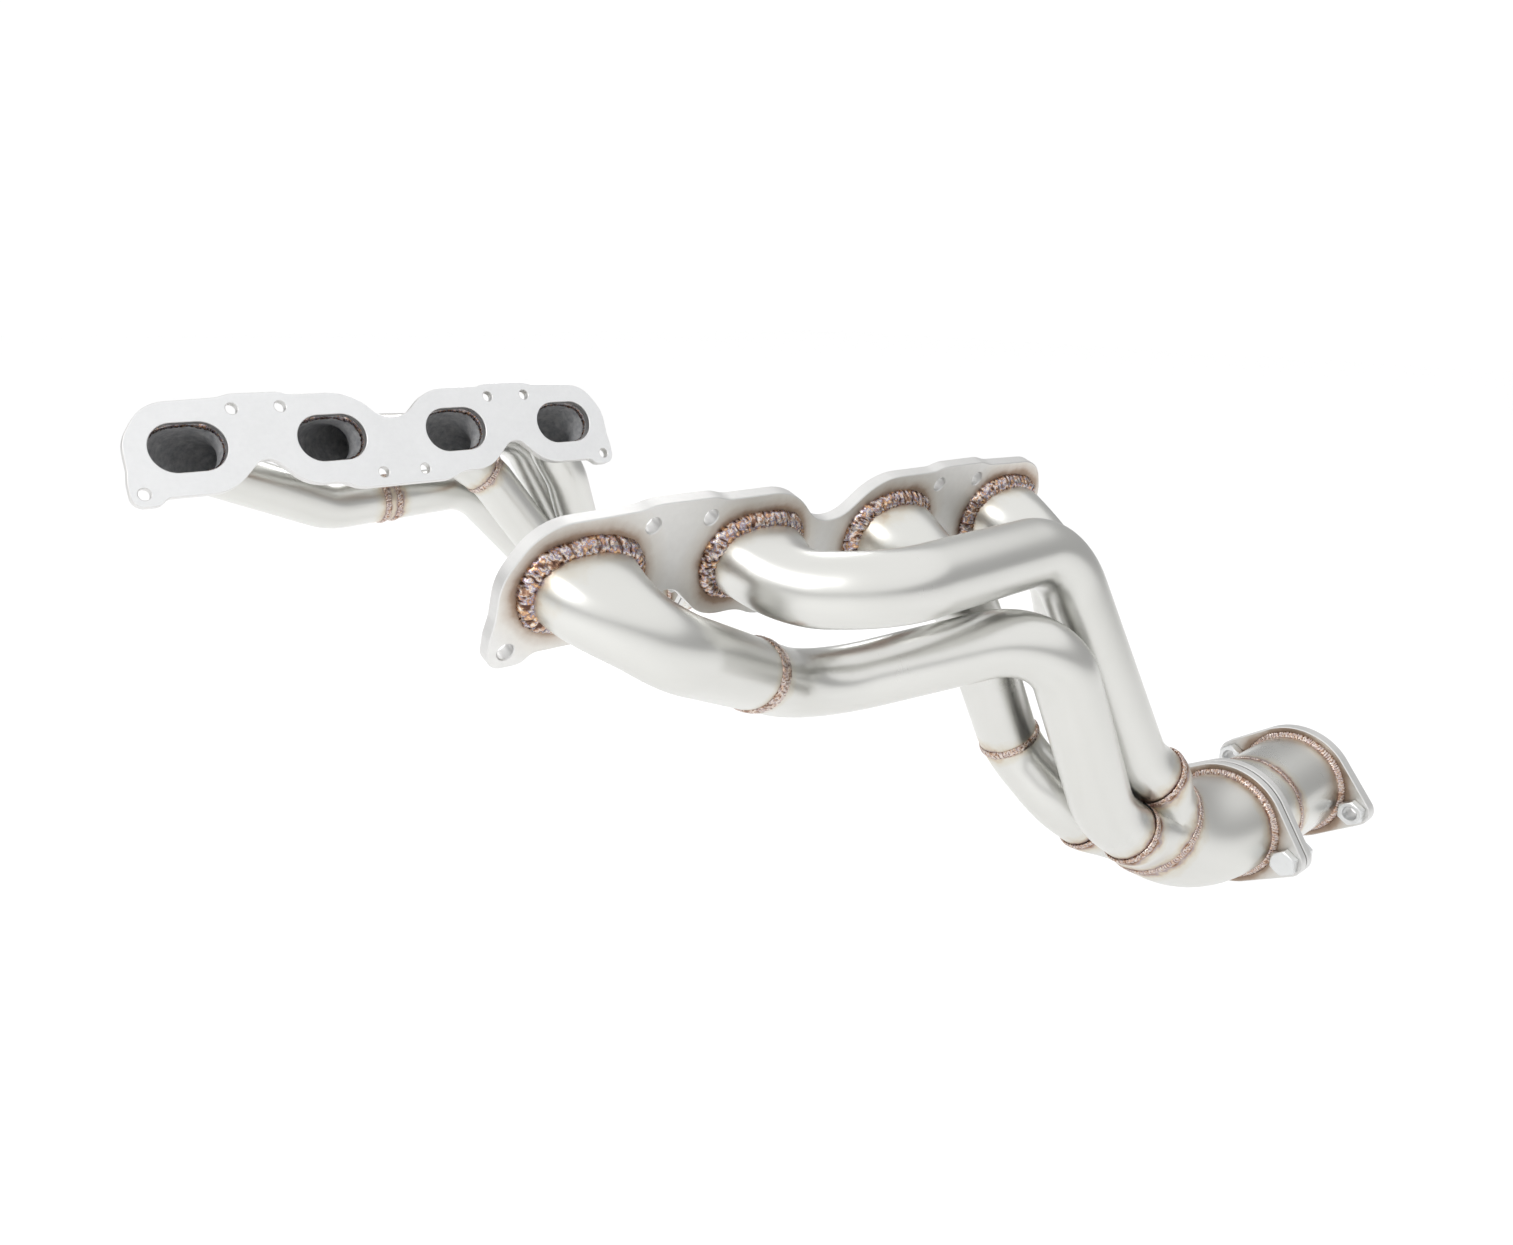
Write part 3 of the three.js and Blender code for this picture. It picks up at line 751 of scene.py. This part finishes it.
for side in routes:
    buildCollector(side)
    buildElbow(side)
    buildPipes(side)
    pipeRing(side, -ringOff, "flange", -ringLean)
    pipeRing(side, stationsOf(side, "link_flange")[1] + ringOff, "linkFlange", ringLean)
    pipeRing(side, stationsOf(side, "link_pipe_front")[1] + tube["gap"] / 2, "pipeSeam")
    pipeRing(side, stationsOf(side, "link_pipe_rear")[1] - ringOff, "flange", -ringLean)
print("collectors and link pipes made")

# Flanges


def arc(x, y, radius, start, stop, steps):
    angle = np.linspace(start, stop, steps + 1)
    return np.stack([x + radius * np.cos(angle), y + radius * np.sin(angle)], -1)


def insetLoop(loop, amount):
    before = np.roll(loop, 1, 0)
    after = np.roll(loop, -1, 0)
    turned = unitRows(after - loop) + unitRows(loop - before)
    normal = unitRows(np.stack([-turned[:, 1], turned[:, 0]], -1))
    return loop + normal * amount


def unitRows(v):
    return v / np.linalg.norm(v, axis=1)[:, None]


def plateMesh(outline, holes, thick, bevel):
    # outline runs anticlockwise, holes clockwise
    loops = [outline, *holes]
    points, faces, kinds = [], [], []
    caps = {0: [], 1: []}
    base = 0
    for loop in loops:
        count = len(loop)
        tight = insetLoop(loop, bevel)
        for flat, w in ((tight, 0), (loop, bevel), (loop, thick - bevel), (tight, thick)):
            points.extend([(u, v, w) for u, v in flat])
        for level in range(3):
            for j in range(count):
                k = (j + 1) % count
                a = base + level * count
                faces.append((a + j, a + k, a + count + k, a + count + j))
                kinds.append(2)
        caps[0].append([base + j for j in range(count)])
        caps[1].append([base + 3 * count + j for j in range(count)])
        base += 4 * count
    for which, rings in caps.items():
        flat = [i for ringIds in rings for i in ringIds]
        polygons = [[Vector((points[i][0], points[i][1], 0)) for i in ringIds] for ringIds in rings]
        for triangle in tessellate_polygon(polygons):
            a, b, c = (flat[t] for t in triangle)
            area = ((points[b][0] - points[a][0]) * (points[c][1] - points[a][1])
                    - (points[c][0] - points[a][0]) * (points[b][1] - points[a][1]))
            if abs(area) < 1e-12:
                continue
            up = area > 0
            faces.append((a, b, c) if up == (which == 1) else (a, c, b))
            kinds.append(which)
    return np.array(points), faces, kinds


def platePiece(name, side, plate, place, materials, node):
    points, faces, kinds = plate
    uv = [[(points[i][0] * mm, points[i][1] * mm) for i in f] for f in faces]
    return finishPiece(name, side, place(points) * mm, faces, materials, [node], uv, None, kinds,
                       sharp=25)


head = {
    "thick": 8.0, "bevel": 0.5, "portLong": 56.0, "portHigh": 38.0, "stud": 4.5,
    "studs": [(18.3, -32.1), (90.7, 27.5), (127.3, 27.5), (199.9, -32.7)],
    "corners": [
        (10, 14, 28), (34, 37, 45), (82, 37, 30), (90, 39.5, 30), (128, 39.5, 30), (136, 37, 30),
        (190, 35, 32), (208, 8, 32), (208, -14, 20), (209.6, -24, 20), (209.6, -42.5, 9.7),
        (190.2, -42.5, 9.7), (185, -37, 12), (138, -37, 36), (114, -14, 13), (104, -14, 13),
        (80, -37, 36), (54, -37, 30), (40, -43.5, 30),
    ],
}


def headOutline(s):
    corners = s["corners"] + [(-u, v, r) for u, v, r in reversed(s["corners"])]
    outline = []
    for i, (u, v, radius) in enumerate(corners):
        here = np.array([u, v], float)
        back = np.array(corners[i - 1][:2], float) - here
        on = np.array(corners[(i + 1) % len(corners)][:2], float) - here
        lengths = np.linalg.norm(back), np.linalg.norm(on)
        half = math.acos(back @ on / (lengths[0] * lengths[1])) / 2
        reach = min(radius / math.tan(half), 0.49 * min(lengths))
        toBack, toOn = back / lengths[0], on / lengths[1]
        middle = here + unit(toBack + toOn) * reach / math.cos(half)
        start, stop = (math.atan2(*(here + way * reach - middle)[::-1]) for way in (toBack, toOn))
        sweep = (stop - start + math.pi) % (2 * math.pi) - math.pi
        outline.extend(arc(*middle, reach * math.tan(half), start, start + sweep, 8))
    return np.array(outline)[::-1]


def headPlate(s):
    holes = []
    for u, v in s["studs"]:
        holes += [arc(x, v, s["stud"], 0, -2 * math.pi, 32)[1:] for x in (u, -u)]
    end = s["portHigh"] / 2
    shift = s["portLong"] / 2 - end
    for port in range(4):
        x = (port - 1.5) * tube["pitch"]
        holes.append(np.concatenate([arc(x - shift, 0, end, 1.5 * math.pi, 0.5 * math.pi, 24),
                                     arc(x + shift, 0, end, 0.5 * math.pi, -0.5 * math.pi, 24)]))
    return plateMesh(headOutline(s), holes, s["thick"], s["bevel"])


ear = {"reach": 50.0, "radius": 11.75, "hub": 45.5, "hole": 5.5, "bevel": 0.6, "joint": 13.0, "outlet": 8.0}


def earPlate(s, thick):
    wrap = math.acos((s["hub"] - s["radius"]) / s["reach"])
    outline = np.concatenate([
        arc(s["reach"], 0, s["radius"], -wrap, wrap, 20),
        arc(0, 0, s["hub"], wrap, math.pi - wrap, 30)[1:-1],
        arc(-s["reach"], 0, s["radius"], math.pi - wrap, math.pi + wrap, 20),
        arc(0, 0, s["hub"], math.pi + wrap, 2 * math.pi - wrap, 30)[1:-1],
    ])
    bore = arc(0, 0, merge["outlet"] - merge["wall"], 0, -2 * math.pi, 96)[1:]
    holes = [arc(x, 0, s["hole"], 0, -2 * math.pi, 32)[1:] for x in (s["reach"], -s["reach"])]
    return plateMesh(outline, [bore, *holes], thick, s["bevel"])


rearward = np.array([1.0, 0, 0])


def laidOn(at, along, up, through):
    return lambda p: at + p[:, :1] * along + p[:, 1:2] * up + p[:, 2:] * through


def earAxes(angle):
    e = np.array([0, -math.cos(math.radians(angle)), -math.sin(math.radians(angle))])
    return e, np.cross(np.array([1.0, 0, 0]), e)


for side in routes:
    platePiece(f"{side}_head_flange_cut", side, headPlate(head),
               laidOn(np.zeros(3), rearward, plateUp, outward),
               [finish["headPort"], finish["headTube"], finish["plateEdge"]],
               f"{side}_head_flange")
    origin = outletPoint(side)
    for node, angle, faces in (("collector_flange", ear["joint"], ("earFace", "earPlain")),
                               ("link_flange", ear["joint"], ("earPlain", "earFace")),
                               ("outlet_flange", ear["outlet"], ("earFace", "earPlain"))):
        e, n = earAxes(angle)
        begin, stop = stationsOf(side, node)
        at = origin + np.array([begin, 0, 0])
        platePiece(f"{side}_{node}_cut", side, earPlate(ear, stop - begin), laidOn(at, e, n, rearward),
                   [finish[key] for key in (*faces, "plateEdge")], f"{side}_{node}")
print("flanges cut")

# Bolts and nuts

screw = {
    "flats": 17.0, "turned": 0.475, "chamfer": math.radians(30), "headHigh": 6.4, "shank": 5.0,
    "bore": 5.3, "sides": 72, "thread": 1.5, "depth": 0.42, "plain": 9, "countersink": 0.5,
}


def hexRadius(angle, flats):
    off = np.mod(angle, math.pi / 3) - math.pi / 6
    return flats / 2 / np.cos(off)


def hexRings(s, x0, x1, bothEnds):
    angle = np.arange(s["sides"]) * 2 * math.pi / s["sides"]
    radius = hexRadius(angle, s["flats"])
    turned = s["turned"] * s["flats"]
    drop = (radius - turned) * math.tan(s["chamfer"])
    top = [(x1 - drop, radius), (x1, turned)] if bothEnds else [(x1, radius), (x1, radius)]
    return angle, [(x0, turned), (x0 + drop, radius), *top]


def ringOf(centre, angle, x, radius):
    return np.stack(np.broadcast_arrays(centre[0] + x, centre[1] + radius * np.sin(angle),
                                        centre[2] - radius * np.cos(angle)), -1)


def solidPiece(name, side, rings, closed, node):
    sides = rings.shape[1]
    count = len(rings)
    faces = wallFaces(0, count, sides, False).tolist()
    points = list(rings.reshape(-1, 3))
    if closed:
        for which in (0, count - 1):
            points.append(rings[which].mean(0))
            middle = len(points) - 1
            for j in range(sides):
                a, b = which * sides + j, which * sides + (j + 1) % sides
                faces.append((middle, b, a) if which == 0 else (middle, a, b))
    else:
        j = np.arange(sides)
        k = (j + 1) % sides
        last = (count - 1) * sides
        faces += np.stack([last + j, last + k, k, j], -1).tolist()
    points = np.array(points)
    uv = [[(points[i][1] * mm, points[i][2] * mm + points[i][0] * mm) for i in f] for f in faces]
    return finishPiece(name, side, points * mm, faces, [finish["bolt"]], [node], uv, sharp=28)


def buildBolt(side, name, centre, s):
    low, high = stationsOf(side, name)
    top = low + s["headHigh"]
    angle, rows = hexRings(s, low, top, False)
    for i, x in enumerate(np.arange(top, high - 1.0, s["thread"] / 4)):
        cut = s["depth"] * (0.5 - 0.5 * math.cos(i * math.pi / 2)) if x > top + s["plain"] else 0.0
        rows.append((x, s["shank"] - cut))
    rows += [(high - 0.7, s["shank"] - 0.1), (high, s["shank"] - 0.9)]
    rings = [ringOf(centre, angle, x, r) for x, r in rows]
    solidPiece(f"{side}_{name}_turned", side, np.array(rings), True, f"{side}_{name}")


def buildNut(side, name, centre, s):
    low, high = stationsOf(side, name)
    angle, rows = hexRings(s, low, high, True)
    bore, sink = s["bore"], s["countersink"]
    rows += [(high, bore + sink), (high - sink, bore), (low + sink, bore), (low, bore + sink)]
    rings = [ringOf(centre, angle, x, r) for x, r in rows]
    solidPiece(f"{side}_{name}_turned", side, np.array(rings), False, f"{side}_{name}")


for side in routes:
    for i, sign in enumerate((1, -1)):
        joint = outletPoint(side) + sign * ear["reach"] * earAxes(ear["joint"])[0]
        far = outletPoint(side) + sign * ear["reach"] * earAxes(ear["outlet"])[0]
        buildBolt(side, f"joint_bolt_{i + 1}", joint, screw)
        buildNut(side, f"joint_nut_{i + 1}", joint, screw)
        buildNut(side, f"outlet_nut_{i + 1}", far, screw)
print("bolts and nuts turned")

# Weld beads


beadShape = {
    "stepsPerRipple": 5.0, "sides": 14, "driftScale": 160.0, "drift": 3.6, "bow": 0.7, "swellScale": 70.0,
}
beadGroups = {  # metal, ripple depth as a share of the height, and wander in mm
    "port": ("portWeld", 0.42, 3.2),
    "seam": ("seamWeld", 0.35, 0.7),
    "collector": ("seamWeld", 0.35, 0.7),
    "pipe": ("seamWeld", 0.32, 0.6),
}


def weldTree(s):
    tree = bpy.data.node_groups.new("weldBead", "GeometryNodeTree")
    face = tree.interface
    face.new_socket("Paths", in_out="INPUT", socket_type="NodeSocketGeometry")
    for name, default in (("Ripple Pitch", 0.002), ("Bead Width", 0.004), ("Bead Height", 0.003),
                          ("Ripple Depth", 0.3), ("Wander", 0.0005)):
        socket = face.new_socket(name, in_out="INPUT", socket_type="NodeSocketFloat")
        socket.default_value = default
    face.new_socket("Metal", in_out="INPUT", socket_type="NodeSocketMaterial")
    face.new_socket("Beads", in_out="OUTPUT", socket_type="NodeSocketGeometry")
    given = tree.nodes.new("NodeGroupInput").outputs
    curve = addNode(tree, "GeometryNodeMeshToCurve", None, Mesh=given["Paths"])
    spacing = math1(tree, "DIVIDE", given["Ripple Pitch"], s["stepsPerRipple"])
    even = addNode(tree, "GeometryNodeResampleCurve", {"mode": "LENGTH"}, Curve=curve.outputs[0],
                   Length=spacing)
    away = addNode(tree, "GeometryNodeInputNamedAttribute", {"data_type": "FLOAT_VECTOR"}, Name="away")
    aimed = addNode(tree, "GeometryNodeSetCurveNormal", {"mode": "FREE"}, Curve=even.outputs[0],
                    Normal=away.outputs[0])
    run = tree.nodes.new("GeometryNodeSplineParameter").outputs["Length"]
    marked = addNode(tree, "GeometryNodeStoreNamedAttribute", {"data_type": "FLOAT", "domain": "POINT"},
                     Geometry=aimed.outputs[0], Name="run", Value=run)
    profile = addNode(tree, "GeometryNodeCurvePrimitiveCircle", None, Resolution=s["sides"], Radius=1.0)
    shape = addNode(tree, "ShaderNodeCombineXYZ", None, X=given["Bead Height"], Y=given["Bead Width"], Z=1.0)
    rim = tree.nodes.new("GeometryNodeInputPosition").outputs[0]
    spot = addNode(tree, "ShaderNodeSeparateXYZ", None, Vector=rim)
    sided = addNode(tree, "GeometryNodeStoreNamedAttribute", {"data_type": "FLOAT", "domain": "POINT"},
                    Geometry=profile.outputs[0], Name="sideways", Value=spot.outputs["Y"])
    squashed = addNode(tree, "GeometryNodeTransform", None, Geometry=sided.outputs[0], Scale=shape.outputs[0])
    swept = addNode(tree, "GeometryNodeCurveToMesh", None, Curve=marked.outputs[0],
                    Profile_Curve=squashed.outputs[0])
    runBack, sideBack = (
        addNode(tree, "GeometryNodeInputNamedAttribute", {"data_type": "FLOAT"}, Name=name).outputs[0]
        for name in ("run", "sideways"))
    place = tree.nodes.new("GeometryNodeInputPosition").outputs[0]
    drift = addNode(tree, "ShaderNodeTexNoise", None, Vector=place, Scale=s["driftScale"],
                    Detail=1.0).outputs["Fac"]
    bowed = math1(tree, "MULTIPLY", math1(tree, "MULTIPLY", sideBack, sideBack), s["bow"])
    phase = math1(tree, "ADD", math1(tree, "DIVIDE", runBack, given["Ripple Pitch"]),
                  math1(tree, "MULTIPLY_ADD", drift, s["drift"], bowed))
    saw = math1(tree, "FRACT", phase)
    crest = math1(tree, "SQRT", math1(tree, "SINE", math1(tree, "MULTIPLY", saw, math.pi)))
    depth = math1(tree, "MULTIPLY", given["Ripple Depth"], given["Bead Height"])
    lift = math1(tree, "MULTIPLY", math1(tree, "SUBTRACT", crest, 1.0), depth)
    slow = addNode(tree, "ShaderNodeTexNoise", None, Vector=place, Scale=s["swellScale"],
                   Detail=2.0).outputs["Fac"]
    uneven = math1(tree, "MULTIPLY", math1(tree, "SUBTRACT", slow, 0.5), given["Wander"])
    amount = math1(tree, "ADD", lift, uneven)
    normal = tree.nodes.new("GeometryNodeInputNormal").outputs[0]
    push = addNode(tree, "ShaderNodeVectorMath", {"operation": "SCALE"}, Vector=normal, Scale=amount)
    rippled = addNode(tree, "GeometryNodeStoreNamedAttribute", {"data_type": "FLOAT", "domain": "POINT"},
                      Geometry=swept.outputs[0], Name="ripple", Value=crest)
    moved = addNode(tree, "GeometryNodeSetPosition", None, Geometry=rippled.outputs[0],
                    Offset=push.outputs[0])
    smooth = addNode(tree, "GeometryNodeSetShadeSmooth", None, Geometry=moved.outputs[0])
    real = addNode(tree, "GeometryNodeRealizeInstances", None, Geometry=smooth.outputs[0])
    last = addNode(tree, "GeometryNodeSetMaterial", None, Geometry=real.outputs[0], Material=given["Metal"])
    out = tree.nodes.new("NodeGroupOutput")
    tree.links.new(last.outputs[0], out.inputs["Beads"])
    return tree


beadTree = weldTree(beadShape)


def layBeads(side, group, metal, depth, wander):
    merged = []
    for bead in sorted({path[2] for path in weldPaths[side][group]}):
        width, height, pitch = bead
        points, edges, away = [], [], []
        for path, lean, wanted in weldPaths[side][group]:
            if wanted != bead:
                continue
            base = len(points)
            points += [tuple(v) for v in toRow(side, path * mm)]
            away += [tuple(v) for v in (lean * (1, -1, 1) if side == "right" else lean)]
            edges += [(base + j, base + (j + 1) % len(path)) for j in range(len(path))]
        mesh = bpy.data.meshes.new("beadPath")
        mesh.from_pydata(points, edges, [])
        facing = mesh.attributes.new("away", "FLOAT_VECTOR", "POINT")
        facing.data.foreach_set("vector", np.array(away).ravel())
        path = bpy.data.objects.new("beadPath", mesh)
        bpy.context.scene.collection.objects.link(path)
        modifier = path.modifiers.new("bead", "NODES")
        modifier.node_group = beadTree
        given = {"Ripple Pitch": pitch * mm, "Bead Width": width * mm, "Bead Height": height * mm,
                 "Ripple Depth": depth, "Wander": wander * mm, "Metal": metal}
        for item in beadTree.interface.items_tree:
            if item.in_out == "INPUT" and item.name in given:
                modifier[item.identifier] = given[item.name]
        graph = bpy.context.evaluated_depsgraph_get()
        merged.append(bpy.data.meshes.new_from_object(path.evaluated_get(graph), depsgraph=graph))
        bpy.data.objects.remove(path)
    for k, mesh in enumerate(merged):
        name = f"{side}_{group}_weld" + (f"_{k + 1}" if len(merged) > 1 else "")
        mesh.name = name
        piece = bpy.data.objects.new(name, mesh)
        bpy.context.scene.collection.objects.link(piece)
        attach(piece, f"{side}_header")
        print(" ", name, len(mesh.polygons), "faces")


for side in routes:
    for group, (metal, depth, wander) in beadGroups.items():
        layBeads(side, group, finish[metal], depth, wander)
print("weld beads laid")

# CAD nodes that stay

for side in routes:
    for node, key in (("merge_spike", "plateEdge"), ("joint_gasket", "gasket")):
        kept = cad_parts[f"{side}_{node}"]
        for slot in kept.material_slots:
            slot.material = finish[key]
